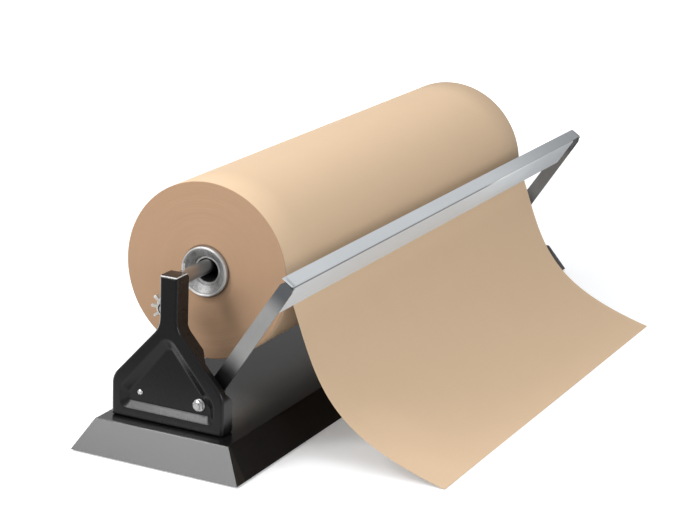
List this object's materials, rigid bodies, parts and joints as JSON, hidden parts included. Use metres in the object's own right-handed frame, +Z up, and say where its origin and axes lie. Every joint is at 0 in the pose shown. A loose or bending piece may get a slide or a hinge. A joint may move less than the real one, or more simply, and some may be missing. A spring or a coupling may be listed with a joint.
{
  "type": "wrapping paper roll dispenser and cutter",
  "caption": "Counter-top dispenser for a wide roll of wrapping paper: folded steel base, pressed stands, shaft with core plugs, and a sprung cutter bar that swings forward.",
  "frame": {"origin": "on the counter, at the middle foot under the base, straight below the shaft and midway between the stands", "axes": "+X along the shaft and the roll, +Z up, and the paper and the cutter are towards -Y"},
  "size_m": [1.1078, 0.4534, 0.3345],
  "materials": {
    "base_pan": "gloss black enamel",
    "base_stiffener": "satin black",
    "rubber_feet": "matt",
    "left_stand": "gloss black enamel",
    "right_stand": "gloss black enamel",
    "stand_bolts": "zinc plated",
    "stand_nuts": "zinc plated",
    "left_saddle": "satin black",
    "right_saddle": "satin black",
    "shaft": "drawn steel",
    "shaft_pins": "bright",
    "keeper_studs": "zinc plated",
    "left_keeper": "zinc plated",
    "right_keeper": "zinc plated",
    "left_keeper_knob": "bright cast",
    "right_keeper_knob": "bright cast",
    "paper_roll": "brown kraft",
    "core_tube": "grey-brown board",
    "left_core_plug": "as cast with a turned rim",
    "right_core_plug": "as cast with a turned rim",
    "left_arm": "satin nickel",
    "right_arm": "satin nickel",
    "cutter_bar": "satin nickel",
    "arm_rivets": "bright",
    "pivot_bolts": "zinc plated",
    "pivot_nuts": "bright zinc",
    "pivot_bushes": "turned",
    "left_spring": "spring wire",
    "right_spring": "spring wire",
    "spring_anchors": "bright",
    "paper_sheet": "brown kraft"
  },
  "bodies": {
    "base": {"base_pan": "base_pan", "base_stiffener": "base_stiffener", "rubber_feet": "rubber_feet", "left_stand": "left_stand", "right_stand": "right_stand", "stand_bolts": "stand_bolts", "stand_nuts": "stand_nuts", "left_saddle": "left_saddle", "right_saddle": "right_saddle", "shaft": "shaft", "shaft_pins": "shaft_pins", "keeper_studs": "keeper_studs", "pivot_bolts": "pivot_bolts", "pivot_nuts": "pivot_nuts", "pivot_bushes": "pivot_bushes", "left_spring": "left_spring", "right_spring": "right_spring", "spring_anchors": "spring_anchors", "paper_sheet": "paper_sheet"},
    "roll": {"paper_roll": "paper_roll", "core_tube": "core_tube", "left_core_plug": "left_core_plug", "right_core_plug": "right_core_plug"},
    "cutter": {"left_arm": "left_arm", "right_arm": "right_arm", "cutter_bar": "cutter_bar", "arm_rivets": "arm_rivets"},
    "left_keeper": {"left_keeper": "left_keeper"},
    "right_keeper": {"right_keeper": "right_keeper"},
    "left_keeper_knob": {"left_keeper_knob": "left_keeper_knob"},
    "right_keeper_knob": {"right_keeper_knob": "right_keeper_knob"}
  },
  "joints": [
    {"name": "roll_spin", "type": "hinge", "parent": "base", "child": "roll", "pos_m": [0, 0, 0.2203], "axis": [1, 0, 0], "continuous": true},
    {"name": "cutter_swing", "type": "hinge", "parent": "base", "child": "cutter", "pos_m": [0, -0.043, 0.077], "axis": [1, 0, 0], "range_deg": [0, 45], "stiffness_Nm_per_rad": 1.2, "springref_deg": -91.67, "deforming": ["left_spring", "right_spring"]},
    {"name": "left_keeper_swing", "type": "hinge", "parent": "base", "child": "left_keeper", "pos_m": [-0.484, 0.021, 0.184], "axis": [-1, 0, 0], "range_deg": [0, 85]},
    {"name": "right_keeper_swing", "type": "hinge", "parent": "base", "child": "right_keeper", "pos_m": [0.484, 0.021, 0.184], "axis": [-1, 0, 0], "range_deg": [0, 85]},
    {"name": "left_knob_turn", "type": "hinge", "parent": "base", "child": "left_keeper_knob", "pos_m": [-0.479, 0.021, 0.184], "axis": [1, 0, 0], "continuous": true},
    {"name": "right_knob_turn", "type": "hinge", "parent": "base", "child": "right_keeper_knob", "pos_m": [0.479, 0.021, 0.184], "axis": [1, 0, 0], "continuous": true}
  ]
}
